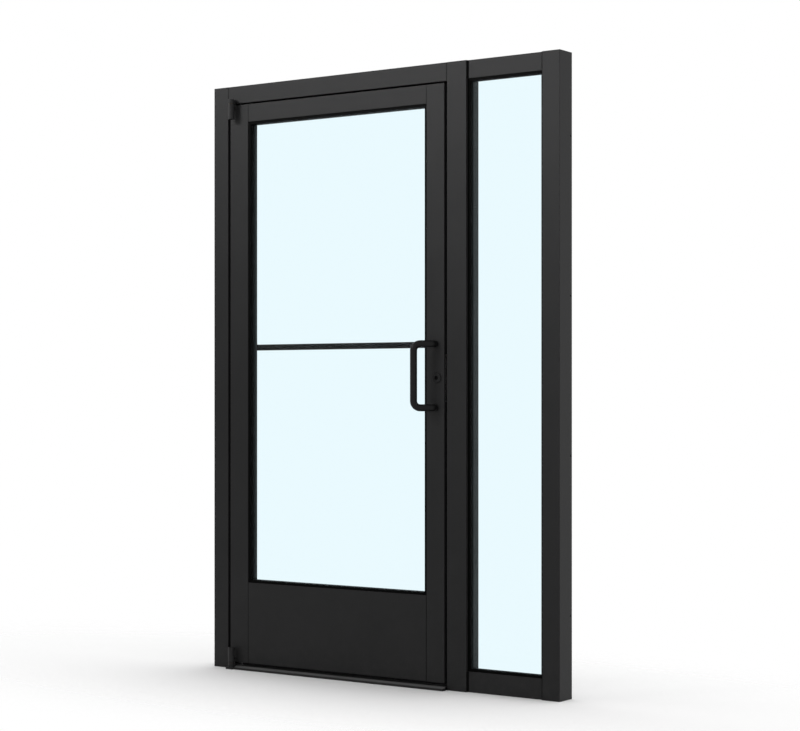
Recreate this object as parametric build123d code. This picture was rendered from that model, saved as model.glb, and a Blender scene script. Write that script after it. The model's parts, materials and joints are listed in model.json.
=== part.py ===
"""Glazed aluminium entrance: one outward-swinging door leaf on offset pivots, with a
narrow fixed sidelite, in one tubular frame.

X runs along the wall (hinge side to sidelite side), Y runs inwards from the street
face, Z runs up. The origin is on the floor, at the middle of the frame's width and depth.
"""
import os

from build123d import *

# Frame members
frame_height = 2022.0
frame_depth = 76.0
jamb_face = 63.0
mullion_face = 74.0
header_face = 60.0
door_opening = 917.0
sidelite_opening = 283.0
sidelite_head_face = 58.0
sidelite_sill_face = 66.0
sidelite_setback = 7.0
frame_wall = 3.2
frame_corner = 1.2

# Door leaf
leaf_thickness = 44.5
hinge_gap = 10.5
lock_gap = 10.5
head_gap = 6.0
floor_gap = 22.0
hinge_stile_face = 79.0
lock_stile_face = 69.0
top_rail_face = 61.0
bottom_rail_face = 279.0
leaf_wall = 3.2
leaf_corner = 1.2

# Glass, its snap-in stops and its gaskets
glass_thickness = 6.0
glass_edge_gap = 4.0
stop_height = 9.0
stop_setback = 2.5
stop_wall = 1.6
stop_corner = 0.5
gasket_thickness = 3.0
gasket_drop = 1.0
sidelite_glass_depth = 21.0
setting_block_length = 100.0
setting_block_inset_share = 0.25

# Door stops and weather seals on the frame
door_stop_projection = 16.0
door_stop_depth = 12.0
door_stop_clearance = 4.5
door_stop_wall = 1.8
door_stop_face_wall = 4.5
seal_width = 4.0
seal_inset = 2.0
seal_groove = 2.5
seal_clearance = 0.4
sweep_thickness = 10.0
sweep_root = 3.0

# Threshold
threshold_height = 12.7
threshold_reach = 27.0
threshold_depth = 102.0
threshold_nose = 6.5
threshold_slope = 16.0
threshold_wall = 3.0
threshold_rib = 4.0
threshold_middle_rib = 36.0
threshold_groove_width = 3.0
threshold_groove_depth = 1.0
threshold_groove_count = 5

# Corner blocks and tie rods inside the tubes
block_length = 45.0
block_wall = 4.0
block_fit = 0.3
tie_rod_diameter = 9.5
tie_nut_diameter = 17.0
tie_nut_length = 8.0
tie_rod_rise = 40.0

# Wall anchors through the jambs
anchor_hole = 6.6
anchor_sink = 12.6
anchor_end = 261.0
anchor_count = 4
anchor_back = 8.0

# Offset pivots
pivot_inset = 20.0
pivot_offset = 19.0
knuckle_diameter = 23.0
knuckle_length = 53.0
cap_height = 15.0
pivot_split = 1.0
pivot_pin_diameter = 12.0
pivot_pin_reach = 44.0
bush_wall = 2.0
bush_flange = 0.7
running_fit = 0.05
seat_fit = 0.02
arm_width = 20.0
arm_thickness = 8.0
arm_drop = 4.0
arm_slot_fit = 0.5
plug_length = 52.0
plug_height = 30.0
plug_fit = 0.2
base_plate_height = 8.0
base_plate_margin = 5.0
base_front_margin = 2.0
base_corner = 4.0

# Lock
lock_height = 1006.0
lock_backset = 29.0
cylinder_diameter = 29.4
collar_diameter = 34.0
collar_thickness = 4.0
collar_chamfer = 1.2
plug_diameter = 13.0
plug_proud = 0.6
keyway_width = 2.2
keyway_height = 8.5
keyway_depth = 6.0
turn_shaft_diameter = 8.0
turn_length = 30.0
turn_width = 9.0
turn_depth = 15.0
cam_thickness = 3.6
cam_clearance = 0.4
cam_reach = 15.0
cam_width = 8.0
case_clearance = 1.0
case_depth = 46.0
case_thickness = 28.0
case_wall = 2.5
faceplate_margin = 15.0
faceplate_width = 25.0
faceplate_fit = 0.25
bolt_thickness = 10.0
bolt_width = 18.0
bolt_length = 54.0
bolt_pin_diameter = 8.0
bolt_pin_setback = 14.0
bolt_pin_rise = 24.0
bolt_slot_fit = 1.0
strike_thickness = 2.4
strike_margin = 22.0
strike_width = 32.0

# Pull and push bar
pull_diameter = 23.0
pull_spacing = 206.5
pull_above_share = 0.532
pull_projection = 63.0
pull_offset = 42.0
pull_foot = 15.0
pull_bend = 22.0
pull_foot_bend = 14.0
push_bar_diameter = 21.0
push_bar_projection = 50.0
push_bar_bend = 26.0
rosette_diameter = 30.0
rosette_thickness = 4.0
through_bolt_diameter = 7.9
through_bolt_reach = 11.0
through_bolt_head = 16.0
through_bolt_nut_length = 6.0

# Screws
screw_diameter = 4.8
screw_head = 9.0
screw_head_height = 2.4
screw_length = 16.0
drive_slot_width = 1.2
drive_slot_depth = 1.0

# Cuts run past the face that they open by this much
overrun = 2.0

# Places worked out from the sizes above
frame_width = jamb_face + door_opening + mullion_face + sidelite_opening + jamb_face
x_left = -frame_width / 2
x_hinge = x_left + jamb_face
x_strike = x_hinge + door_opening
x_lite = x_strike + mullion_face
x_lite_end = x_lite + sidelite_opening
x_right = x_lite_end + jamb_face
y_front = -frame_depth / 2
y_back = frame_depth / 2
y_lite_front = y_front + sidelite_setback
z_header = frame_height - header_face
z_lite_head = frame_height - sidelite_head_face

leaf_x0 = x_hinge + hinge_gap
leaf_x1 = x_strike - lock_gap
leaf_z0 = floor_gap
leaf_z1 = z_header - head_gap
leaf_y0 = y_front
leaf_y1 = leaf_y0 + leaf_thickness
leaf_mid = leaf_y0 + leaf_thickness / 2
rail_x0 = leaf_x0 + hinge_stile_face
rail_x1 = leaf_x1 - lock_stile_face
top_rail_z = leaf_z1 - top_rail_face
bottom_rail_z = leaf_z0 + bottom_rail_face

pivot_x = leaf_x0 + pivot_inset
pivot_y = leaf_y0 - pivot_offset
lock_x = leaf_x1 - lock_backset
pull_x = leaf_x1 - lock_stile_face / 2
push_bar_x = leaf_x0 + hinge_stile_face / 2
pull_height = lock_height + pull_above_share * pull_spacing
pull_below = (1 - pull_above_share) * pull_spacing
case_height = 2 * (pull_below - through_bolt_diameter / 2 - case_clearance)
faceplate_height = case_height - 2 * faceplate_margin
bolt_x = leaf_x1 - leaf_wall - bolt_pin_setback
bolt_z = lock_height + bolt_pin_rise
bolt_slot_z0 = bolt_z - bolt_length - bolt_slot_fit
bolt_slot_z1 = bolt_z + bolt_width / 2 + bolt_slot_fit
cylinder_end = bolt_thickness / 2 + cam_clearance + cam_thickness + cam_clearance


def block(x0, x1, y0, y1, z0, z1):
    """A square-cornered block between two opposite corners."""
    return Pos(x0, y0, z0) * Box(x1 - x0, y1 - y0, z1 - z0, align=(Align.MIN, Align.MIN, Align.MIN))


def rod_x(diameter, y, z, x0, x1):
    return Pos(x0, y, z) * Rot(0, 90, 0) * Cylinder(
        diameter / 2, x1 - x0, align=(Align.CENTER, Align.CENTER, Align.MIN))


def rod_y(diameter, x, z, y0, y1):
    return Pos(x, y0, z) * Rot(-90, 0, 0) * Cylinder(
        diameter / 2, y1 - y0, align=(Align.CENTER, Align.CENTER, Align.MIN))


def rod_z(diameter, x, y, z0, z1):
    return Pos(x, y, z0) * Cylinder(
        diameter / 2, z1 - z0, align=(Align.CENTER, Align.CENTER, Align.MIN))


def tube_profile(width, height, wall, corner, cells=1):
    """Hollow extrusion section: rounded outside, with its cells stacked along the height."""
    section = RectangleRounded(width, height, corner)
    cell = (height - wall * (cells + 1)) / cells
    for i in range(cells):
        middle = -height / 2 + wall + cell / 2 + i * (cell + wall)
        section -= Pos(0, middle) * Rectangle(width - 2 * wall, cell)
    return section


def upright(x0, x1, y0, y1, z0, z1, wall, corner):
    """Vertical tube: the section lies in plan and runs up."""
    section = tube_profile(x1 - x0, y1 - y0, wall, corner)
    return Pos((x0 + x1) / 2, (y0 + y1) / 2, z0) * extrude(section, z1 - z0)


def crossbar(x0, x1, y0, y1, z0, z1, wall, corner, cells=1):
    """Horizontal tube: the section stands across the wall and runs along it."""
    section = Plane.YZ * tube_profile(y1 - y0, z1 - z0, wall, corner, cells)
    return Pos(x0, (y0 + y1) / 2, (z0 + z1) / 2) * extrude(section, x1 - x0)


def pan_screw(length):
    """Slotted pan-head screw: the head bears on the origin, the shank runs along +Z."""
    head = rod_z(screw_head, 0, 0, -screw_head_height, 0)
    slot = block(-screw_head, screw_head, -drive_slot_width / 2, drive_slot_width / 2,
                 -screw_head_height - overrun, -screw_head_height + drive_slot_depth)
    return (head - slot) + rod_z(screw_diameter, 0, 0, 0, length)


def flush_screw(length):
    """Slotted countersunk screw: its head is flush at the origin, the shank runs along +Z."""
    sink = (screw_head - screw_diameter) / 2
    head = Pos(0, 0, sink / 2) * Cone(screw_head / 2, screw_diameter / 2, sink)
    slot = block(-screw_head, screw_head, -drive_slot_width / 2, drive_slot_width / 2,
                 -overrun, drive_slot_depth)
    return (head - slot) + rod_z(screw_diameter, 0, 0, sink, length)


def flush_hole(length):
    """Hole for a flush screw, with a seat fit round its head and shank."""
    sink = (screw_head - screw_diameter) / 2
    head = Pos(0, 0, sink / 2) * Cone(screw_head / 2 + seat_fit, screw_diameter / 2 + seat_fit, sink)
    return head + screw_hole(length)


def screw_hole(length):
    """Plain hole along +Z from the origin, open past both ends."""
    return rod_z(screw_diameter + 2 * seat_fit, 0, 0, -overrun, length + overrun)


# Turns that point a screw's shank from +Z to another axis
towards_sidelite = Rot(0, 90, 0)
towards_hinge = Rot(0, -90, 0)
towards_street = Rot(90, 0, 0)
downwards = Rot(180, 0, 0)


def anchor_heights():
    pitch = (frame_height - 2 * anchor_end) / (anchor_count - 1)
    return [anchor_end + i * pitch for i in range(anchor_count)]


def anchor_holes(x_wall, x_room):
    """Through holes for the wall screws, countersunk on the room side of the jamb."""
    y = y_back - anchor_back
    sink = (anchor_sink - anchor_hole) / 2
    ends = sorted((x_wall, x_room))
    side = 1 if x_room > x_wall else -1
    holes = []
    for z in anchor_heights():
        holes.append(rod_x(anchor_hole, y, z, ends[0] - overrun, ends[1] + overrun))
        holes.append(Pos(x_room - side * sink / 2, y, z) * Rot(0, 90 * side, 0) * Cone(
            anchor_hole / 2, anchor_sink / 2, sink))
    return holes


def arm_slot(wall, z0, z1):
    """Slot through the front wall of a stile or header for a pivot's arm."""
    half = arm_width / 2 + arm_slot_fit
    return block(pivot_x - half, pivot_x + half, y_front - overrun, y_front + wall + overrun, z0, z1)


def hinge_jamb():
    jamb = upright(x_left, x_hinge, y_front, y_back, 0, frame_height, frame_wall, frame_corner)
    return jamb - anchor_holes(x_left, x_hinge)


def sidelite_jamb():
    jamb = upright(x_lite_end, x_right, y_front, y_back, 0, frame_height, frame_wall, frame_corner)
    return jamb - anchor_holes(x_right, x_lite_end)


def strike_screw_heights():
    return [bolt_slot_z0 - strike_margin / 2, bolt_slot_z1 + strike_margin / 2]


def mullion():
    post = upright(x_strike, x_lite, y_front, y_back, 0, frame_height, frame_wall, frame_corner)
    half = bolt_thickness / 2 + bolt_slot_fit
    post -= block(x_strike - overrun, x_strike + frame_wall + overrun, leaf_mid - half,
                  leaf_mid + half, bolt_slot_z0, bolt_slot_z1)
    for z in strike_screw_heights():
        post -= Pos(x_strike, leaf_mid, z) * towards_sidelite * screw_hole(frame_wall)
    return post


# The top pivot's arm leaves the header this far above its underside
top_bracket_z = z_header + frame_wall


def top_bracket_screws_x():
    middle = x_hinge + frame_wall + plug_length / 2
    return [middle - plug_length / 4, middle + plug_length / 4]


def bracket_screw_y():
    return y_front + frame_wall + (frame_depth / 2 - frame_wall) / 2


def door_header():
    header = crossbar(x_hinge, x_strike, y_front, y_back, z_header, frame_height, frame_wall,
                      frame_corner)
    header -= arm_slot(frame_wall, z_header - overrun, top_bracket_z + arm_thickness + arm_slot_fit)
    for x in top_bracket_screws_x():
        header -= Pos(x, bracket_screw_y(), z_header) * screw_hole(frame_wall)
    return header


def sidelite_head():
    return crossbar(x_lite, x_lite_end, y_lite_front, y_back, z_lite_head, frame_height,
                    frame_wall, frame_corner)


def sidelite_sill():
    return crossbar(x_lite, x_lite_end, y_lite_front, y_back, 0, sidelite_sill_face,
                    frame_wall, frame_corner)


def frame_corner_blocks():
    """Channel clips in the ends of the frame's cross members, bearing on the uprights."""
    blocks = []
    for x0, x1, z0, z1 in (
            (x_hinge, x_strike, z_header, frame_height),
            (x_lite, x_lite_end, z_lite_head, frame_height),
            (x_lite, x_lite_end, 0, sidelite_sill_face)):
        for start in (x0, x1 - block_length):
            y0 = 0
            y1 = y_back - frame_wall - block_fit
            low = z0 + frame_wall + block_fit
            high = z1 - frame_wall - block_fit
            clip = block(start, start + block_length, y0, y1, low, high)
            clip -= block(start - overrun, start + block_length + overrun, y0 - overrun,
                          y1 - block_wall, low + block_wall, high - block_wall)
            blocks.append(clip)
    return blocks


def laid_bar(section, start, towards, length):
    """Run a section along the member that it sits on: its own x points towards the opening,
    its own y points inwards, and it is laid clockwise as seen from the street."""
    run = Vector(towards).cross(Vector(0, 1, 0))
    return extrude(Plane(origin=start, x_dir=towards, z_dir=run) * section, length)


def door_stop_section():
    """Snap-in door stop: a channel open to the frame, with a groove for the seal in its face."""
    section = Rectangle(door_stop_projection, door_stop_depth)
    section -= Pos(-door_stop_wall / 2, (door_stop_face_wall - door_stop_wall) / 2) * Rectangle(
        door_stop_projection - door_stop_wall,
        door_stop_depth - door_stop_face_wall - door_stop_wall)
    section -= Pos(door_stop_projection / 2 - seal_inset - seal_width / 2,
                   -door_stop_depth / 2 + seal_groove / 2) * Rectangle(seal_width, seal_groove)
    return section


door_stop_y = leaf_y1 + door_stop_clearance + door_stop_depth / 2


def hinge_door_stop():
    start = (x_hinge + door_stop_projection / 2, door_stop_y, threshold_height)
    return laid_bar(door_stop_section(), start, (1, 0, 0), z_header - threshold_height)


def header_door_stop():
    start = (x_hinge + door_stop_projection, door_stop_y, z_header - door_stop_projection / 2)
    return laid_bar(door_stop_section(), start, (0, 0, -1), door_opening - 2 * door_stop_projection)


def strike_door_stop():
    start = (x_strike - door_stop_projection / 2, door_stop_y, z_header)
    return laid_bar(door_stop_section(), start, (-1, 0, 0), z_header - threshold_height)


def strike_seal():
    x1 = x_strike - door_stop_projection + seal_inset + seal_width
    y1 = leaf_y1 + door_stop_clearance + seal_groove
    return block(x1 - seal_width, x1, leaf_y1 + seal_clearance, y1, threshold_height, z_header)


def header_seal():
    """It starts past the hinge corner of the leaf, which swings back a little as it opens."""
    x0 = pivot_x + pivot_inset + seal_width
    z0 = z_header - door_stop_projection + seal_inset
    y1 = leaf_y1 + door_stop_clearance + seal_groove
    return block(x0, x_strike - door_stop_projection, leaf_y1 + seal_clearance, y1, z0,
                 z0 + seal_width)


def hinge_seal():
    """Pile strip on the jamb, facing the hinge edge of the leaf, between the two pivots."""
    return block(x_hinge, leaf_x0 - seal_clearance, leaf_mid - seal_width / 2,
                 leaf_mid + seal_width / 2, threshold_height, z_header)


# The floor of the tread's grooves, where the threshold's screw heads lie
tread_z = threshold_height - threshold_groove_depth


def threshold():
    """Saddle threshold: bevelled front and back, grooved tread, ribbed hollow underside."""
    y0 = y_front - threshold_reach
    y1 = y0 + threshold_depth
    outline = Polyline((y0, 0), (y0, threshold_nose), (y0 + threshold_slope, threshold_height),
                       (y1 - threshold_slope, threshold_height), (y1, threshold_nose), (y1, 0),
                       close=True)
    section = make_face(outline)
    hollow_y0 = y0 + threshold_slope + threshold_rib
    hollow_y1 = y1 - threshold_slope - threshold_rib
    cell = (hollow_y1 - hollow_y0 - threshold_middle_rib) / 2
    roof = threshold_height - threshold_wall
    for start in (hollow_y0, hollow_y1 - cell):
        section -= Pos(start + cell / 2, roof / 2) * Rectangle(cell, roof)
    pitch = (hollow_y1 - hollow_y0) / (threshold_groove_count + 1)
    for i in range(threshold_groove_count):
        section -= Pos(hollow_y0 + (i + 1) * pitch,
                       threshold_height - threshold_groove_depth / 2) * Rectangle(
            threshold_groove_width, threshold_groove_depth)
    saddle = Pos(x_hinge, 0, 0) * extrude(Plane.YZ * section, door_opening)
    base = pivot_base_box()
    saddle -= block(x_hinge - overrun, base[1] + arm_slot_fit, y0 - overrun, base[3] + arm_slot_fit,
                    -overrun, threshold_height + overrun)
    for x in threshold_screw_places():
        saddle -= Pos(x, threshold_screw_y(), tread_z) * downwards * flush_hole(tread_z)
    return saddle


def threshold_screw_places():
    share = setting_block_inset_share
    return [x_hinge + door_opening * share, x_hinge + door_opening / 2,
            x_strike - door_opening * share]


def threshold_screw_y():
    """The screws stand over the rib in the middle of the threshold."""
    return y_front - threshold_reach + threshold_depth / 2


def threshold_screws():
    screw = downwards * flush_screw(tread_z)
    return [Pos(x, threshold_screw_y(), tread_z) * screw for x in threshold_screw_places()]


def glazing_stops(x0, x1, z0, z1, y0, y1):
    """Snap-in glazing stops: channels open to the member that they sit on, the two sides full
    height and the head and foot between them."""
    depth = y1 - y0
    middle = (y0 + y1) / 2
    half = stop_height / 2
    section = Rectangle(stop_height, depth)
    section = fillet(section.vertices().group_by(Axis.X)[-1], stop_corner)
    section -= Pos(-stop_wall / 2, 0) * Rectangle(stop_height - stop_wall, depth - 2 * stop_wall)
    height = z1 - z0
    width = x1 - x0 - 2 * stop_height
    return [
        laid_bar(section, (x0 + half, middle, z0), (1, 0, 0), height),
        laid_bar(section, (x0 + stop_height, middle, z1 - half), (0, 0, -1), width),
        laid_bar(section, (x1 - half, middle, z1), (-1, 0, 0), height),
        laid_bar(section, (x1 - stop_height, middle, z0 + half), (0, 0, 1), width)]


def glazing_gasket(x0, x1, z0, z1, y0, y1):
    """One rubber ring between a stop and the glass, a little lower than the stop."""
    height = stop_height - gasket_drop
    ring = block(x0, x1, y0, y1, z0, z1)
    return ring - block(x0 + height, x1 - height, y0 - overrun, y1 + overrun,
                        z0 + height, z1 - height)


def glazing(prefix, x0, x1, z0, z1, y_stop0, y_glass, y_stop1):
    """Glass, stops, gaskets and setting blocks in the opening between four members."""
    gap = glass_edge_gap
    y_glass1 = y_glass + glass_thickness
    nodes = {prefix + "_glass": block(x0 + gap, x1 - gap, y_glass, y_glass1, z0 + gap, z1 - gap)}
    nodes[prefix + "_outer_stops"] = glazing_stops(x0, x1, z0, z1, y_stop0,
                                                   y_glass - gasket_thickness)
    nodes[prefix + "_inner_stops"] = glazing_stops(x0, x1, z0, z1, y_glass1 + gasket_thickness,
                                                   y_stop1)
    nodes[prefix + "_outer_gasket"] = glazing_gasket(x0, x1, z0, z1, y_glass - gasket_thickness,
                                                     y_glass)
    nodes[prefix + "_inner_gasket"] = glazing_gasket(x0, x1, z0, z1, y_glass1,
                                                     y_glass1 + gasket_thickness)
    blocks = []
    inset = (x1 - x0) * setting_block_inset_share
    length = min(setting_block_length, inset)
    for middle in (x0 + inset, x1 - inset):
        blocks.append(block(middle - length / 2, middle + length / 2, y_glass, y_glass1,
                            z0, z0 + gap))
    nodes[prefix + "_setting_blocks"] = blocks
    return nodes


def sidelite_glazing():
    y_glass = y_front + sidelite_glass_depth
    y_stop0 = y_lite_front + stop_setback
    depth = y_glass - gasket_thickness - y_stop0
    y_stop1 = y_glass + glass_thickness + gasket_thickness + depth
    return glazing("sidelite", x_lite, x_lite_end, sidelite_sill_face, z_lite_head, y_stop0,
                   y_glass, y_stop1)


def door_glazing():
    return glazing("door", rail_x0, rail_x1, bottom_rail_z, top_rail_z, leaf_y0 + stop_setback,
                   leaf_mid - glass_thickness / 2, leaf_y1 - stop_setback)


def tie_rod_heights():
    return [leaf_z0 + tie_rod_rise, leaf_z1 - top_rail_face / 2]


def top_arm_z():
    """Underside of the top arm: it lies just below the top edge of the leaf."""
    return leaf_z1 - arm_drop - arm_thickness


def bottom_arm_z():
    return leaf_z0 + arm_drop


def leaf_pivot_screw_x():
    return leaf_x0 + leaf_wall + plug_length - screw_head


def hinge_stile():
    stile = upright(leaf_x0, rail_x0, leaf_y0, leaf_y1, leaf_z0, leaf_z1, leaf_wall, leaf_corner)
    stile -= arm_slot(leaf_wall, top_arm_z() - arm_slot_fit, leaf_z1 + overrun)
    stile -= arm_slot(leaf_wall, leaf_z0 - overrun, bottom_arm_z() + arm_thickness + arm_slot_fit)
    for z in tie_rod_heights():
        stile -= rod_x(tie_rod_diameter + 2 * block_fit, leaf_mid, z, rail_x0 - leaf_wall - overrun,
                       rail_x0 + overrun)
    stile -= rod_y(through_bolt_diameter + 2 * seat_fit, push_bar_x, pull_height,
                   leaf_y1 - leaf_wall - overrun, leaf_y1 + overrun)
    for z in leaf_pivot_screw_heights():
        stile -= Pos(leaf_pivot_screw_x(), leaf_y1, z) * towards_street * screw_hole(leaf_wall)
    return stile


def lock_stile():
    stile = upright(rail_x1, leaf_x1, leaf_y0, leaf_y1, leaf_z0, leaf_z1, leaf_wall, leaf_corner)
    for z in tie_rod_heights():
        stile -= rod_x(tie_rod_diameter + 2 * block_fit, leaf_mid, z, rail_x1 - overrun,
                       rail_x1 + leaf_wall + overrun)
    for z in (pull_height, pull_height - pull_spacing):
        stile -= rod_y(through_bolt_diameter + 2 * seat_fit, pull_x, z, leaf_y0 - overrun,
                       leaf_y1 + overrun)
    stile -= rod_y(cylinder_diameter + 2 * seat_fit, lock_x, lock_height, leaf_y0 - overrun,
                   leaf_y1 + overrun)
    half_height = faceplate_height / 2 + faceplate_fit
    half_width = faceplate_width / 2 + faceplate_fit
    stile -= block(leaf_x1 - leaf_wall - overrun, leaf_x1 + overrun, leaf_mid - half_width,
                   leaf_mid + half_width, lock_height - half_height, lock_height + half_height)
    return stile


def top_rail():
    return crossbar(rail_x0, rail_x1, leaf_y0, leaf_y1, top_rail_z, leaf_z1, leaf_wall, leaf_corner)


def bottom_rail():
    rail = crossbar(rail_x0, rail_x1, leaf_y0, leaf_y1, leaf_z0, bottom_rail_z, leaf_wall,
                    leaf_corner, cells=2)
    rail -= block(rail_x0 - overrun, rail_x1 + overrun, leaf_mid - sweep_thickness / 2,
                  leaf_mid + sweep_thickness / 2, leaf_z0 - overrun, leaf_z0 + leaf_wall + overrun)
    return rail


def door_sweep():
    """Brush under the bottom rail, held in a slot in its floor and just clear of the threshold."""
    half = sweep_thickness / 2
    blade = block(rail_x0, rail_x1, leaf_mid - half, leaf_mid + half,
                  threshold_height + seal_clearance, leaf_z0 + leaf_wall)
    root = block(rail_x0, rail_x1, leaf_mid - half - sweep_root, leaf_mid + half + sweep_root,
                 leaf_z0 + leaf_wall, leaf_z0 + leaf_wall + sweep_root)
    return blade + root


def leaf_corner_blocks():
    """Channel blocks in the rail ends, drilled for the tie rods and bearing on the stiles."""
    low_cell = (bottom_rail_face - 3 * leaf_wall) / 2
    sweep_top = leaf_z0 + leaf_wall + sweep_root
    low_rail = (sweep_top + block_fit, leaf_z0 + leaf_wall + low_cell - block_fit)
    high_rail = (top_rail_z + leaf_wall + block_fit, leaf_z1 - leaf_wall - block_fit)
    y0 = leaf_y0 + leaf_wall + block_fit
    y1 = leaf_y1 - leaf_wall - block_fit
    blocks = []
    for (z0, z1), rod in zip((low_rail, high_rail), tie_rod_heights()):
        for end, side in ((rail_x0, 1), (rail_x1, -1)):
            x0, x1 = sorted((end, end + side * block_length))
            cut0, cut1 = sorted((end + side * block_wall, end + side * (block_length + overrun)))
            piece = block(x0, x1, y0, y1, z0, z1)
            piece -= block(cut0, cut1, y0 + block_wall, y1 - block_wall, z0 - overrun, z1 + overrun)
            piece -= rod_x(tie_rod_diameter + 2 * block_fit, leaf_mid, rod, x0 - overrun, x1 + overrun)
            blocks.append(piece)
    return blocks


def tie_rods():
    """Threaded rods through both rails, with a nut inside each stile."""
    rods = []
    for z in tie_rod_heights():
        x0 = rail_x0 - leaf_wall - tie_nut_length
        x1 = rail_x1 + leaf_wall + tie_nut_length
        rod = rod_x(tie_rod_diameter, leaf_mid, z, x0, x1)
        for start in (x0, x1 - tie_nut_length):
            nut = Plane.YZ * RegularPolygon(tie_nut_diameter / 2, 6)
            rod += Pos(start, leaf_mid, z) * extrude(nut, tie_nut_length)
        rods.append(rod)
    return rods


# Pivots: the leaf's knuckles and the frame's caps share one axis.
knuckle_top = z_header - head_gap / 2
knuckle_foot = leaf_z0


def knuckle(z0, z1, bore):
    body = rod_z(knuckle_diameter, pivot_x, pivot_y, z0, z1)
    rims = body.edges().filter_by(GeomType.CIRCLE)
    body = chamfer(rims, bush_flange)
    return body - rod_z(bore, pivot_x, pivot_y, z0 - overrun, z1 + overrun)


def arm(z0, y_end):
    """Flat arm from the pivot axis back into the tube behind it."""
    plate = block(pivot_x - arm_width / 2, pivot_x + arm_width / 2, pivot_y, y_end, z0,
                  z0 + arm_thickness)
    return plate


bush_bore = pivot_pin_diameter + 2 * running_fit
bush_outside = pivot_pin_diameter + 2 * bush_wall
knuckle_bore = bush_outside + 2 * seat_fit


def leaf_pivot_screw_heights():
    return [leaf_z0 + plug_height / 2, leaf_z1 - plug_height / 2]


def leaf_pivot_arm(z_plug, z_arm, z_knuckle):
    """Door half of a pivot: a plug in the stile's end, an arm through its face, a knuckle."""
    y0 = leaf_y0 + leaf_wall + plug_fit
    y1 = leaf_y1 - leaf_wall
    x0 = leaf_x0 + leaf_wall + plug_fit
    plug = block(x0, x0 + plug_length, y0, y1, z_plug, z_plug + plug_height)
    body = plug + arm(z_arm, y0 + plug_fit)
    body -= rod_z(knuckle_bore, pivot_x, pivot_y, z_arm - overrun, z_arm + arm_thickness + overrun)
    body += knuckle(z_knuckle, z_knuckle + knuckle_length, knuckle_bore)
    screw = Pos(leaf_pivot_screw_x(), y1, z_plug + plug_height / 2) * towards_street
    return body - screw * screw_hole(y1 - y0)


def top_pivot_arm():
    return leaf_pivot_arm(leaf_z1 - plug_height, top_arm_z(), knuckle_top - knuckle_length)


def bottom_pivot_arm():
    return leaf_pivot_arm(leaf_z0, bottom_arm_z(), knuckle_foot)


def pivot_bushes():
    """Flanged bushes: the flange takes the thrust between knuckle and cap or base."""
    pieces = []
    top = rod_z(bush_outside, pivot_x, pivot_y, knuckle_top - pivot_pin_reach, knuckle_top)
    top += rod_z(knuckle_diameter - 2 * bush_flange, pivot_x, pivot_y, knuckle_top,
                 knuckle_top + bush_flange)
    foot = rod_z(bush_outside, pivot_x, pivot_y, knuckle_foot, knuckle_foot + pivot_pin_reach)
    foot += rod_z(knuckle_diameter - 2 * bush_flange, pivot_x, pivot_y, knuckle_foot - bush_flange,
                  knuckle_foot)
    for bush in (top, foot):
        pieces.append(bush - rod_z(bush_bore, pivot_x, pivot_y, 0, frame_height))
    return pieces


cap_z = knuckle_top + pivot_split


def top_pivot_bracket():
    """Frame half of the top pivot: a cap on the pin, with an arm into the header."""
    y0 = y_front + frame_wall + plug_fit
    x0 = x_hinge + plug_fit
    plug = block(x0, x0 + frame_wall + plug_length, y0, 0, top_bracket_z, top_bracket_z + arm_thickness)
    body = plug + arm(top_bracket_z, y0 + plug_fit)
    cap_bore = pivot_pin_diameter + 2 * seat_fit
    body -= rod_z(cap_bore, pivot_x, pivot_y, z_header, frame_height)
    body += knuckle(cap_z, cap_z + cap_height, cap_bore)
    for x in top_bracket_screws_x():
        body -= Pos(x, bracket_screw_y(), top_bracket_z) * screw_hole(arm_thickness)
    return body


def top_pivot_pin():
    pin = rod_z(pivot_pin_diameter, pivot_x, pivot_y, knuckle_top - pivot_pin_reach + bush_wall,
                cap_z + cap_height)
    return chamfer(pin.edges().filter_by(GeomType.CIRCLE), bush_flange)


def pivot_base_box():
    """The bottom pivot's floor plate in plan: x0, x1, y0, y1."""
    reach = knuckle_diameter / 2 + base_plate_margin
    y0 = pivot_y - knuckle_diameter / 2 - base_front_margin
    y1 = leaf_y0 + leaf_wall + screw_head + base_plate_margin
    return (pivot_x - reach, pivot_x + reach, y0, y1)


def base_screw_places():
    x0, x1, y0, y1 = pivot_base_box()
    inset = screw_head / 2 + drive_slot_width
    return [(x0 + inset, y1 - inset), (x1 - inset, y1 - inset)]


def bottom_pivot_base():
    """Floor plate with a boss and the stud that carries the leaf."""
    x0, x1, y0, y1 = pivot_base_box()
    plan = Pos((x0 + x1) / 2, (y0 + y1) / 2) * RectangleRounded(x1 - x0, y1 - y0, base_corner)
    body = extrude(plan, base_plate_height)
    boss_top = knuckle_foot - pivot_split
    body += rod_z(knuckle_diameter, pivot_x, pivot_y, base_plate_height, boss_top)
    stud = rod_z(pivot_pin_diameter, pivot_x, pivot_y, boss_top,
                 knuckle_foot + pivot_pin_reach - bush_wall)
    tip = stud.edges().filter_by(GeomType.CIRCLE).sort_by(Axis.Z)[-1]
    body += chamfer(tip, bush_flange)
    for x, y in base_screw_places():
        body -= Pos(x, y, 0) * screw_hole(base_plate_height)
    return body


def frame_pivot_screws():
    """Two screws up through the header's underside, two down through the floor plate."""
    up = pan_screw(frame_wall + arm_thickness)
    down = downwards * pan_screw(base_plate_height)
    screws = [Pos(x, bracket_screw_y(), z_header) * up for x in top_bracket_screws_x()]
    return screws + [Pos(x, y, base_plate_height) * down for x, y in base_screw_places()]


def leaf_pivot_screws():
    """One screw through the room face of the hinge stile into each pivot plug."""
    screw = towards_street * pan_screw(screw_length)
    return [Pos(leaf_pivot_screw_x(), leaf_y1, z) * screw for z in leaf_pivot_screw_heights()]


def bolt_slot(x0, x1):
    half = bolt_thickness / 2 + bolt_slot_fit
    return block(x0, x1, leaf_mid - half, leaf_mid + half, bolt_slot_z0, bolt_slot_z1)


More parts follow.
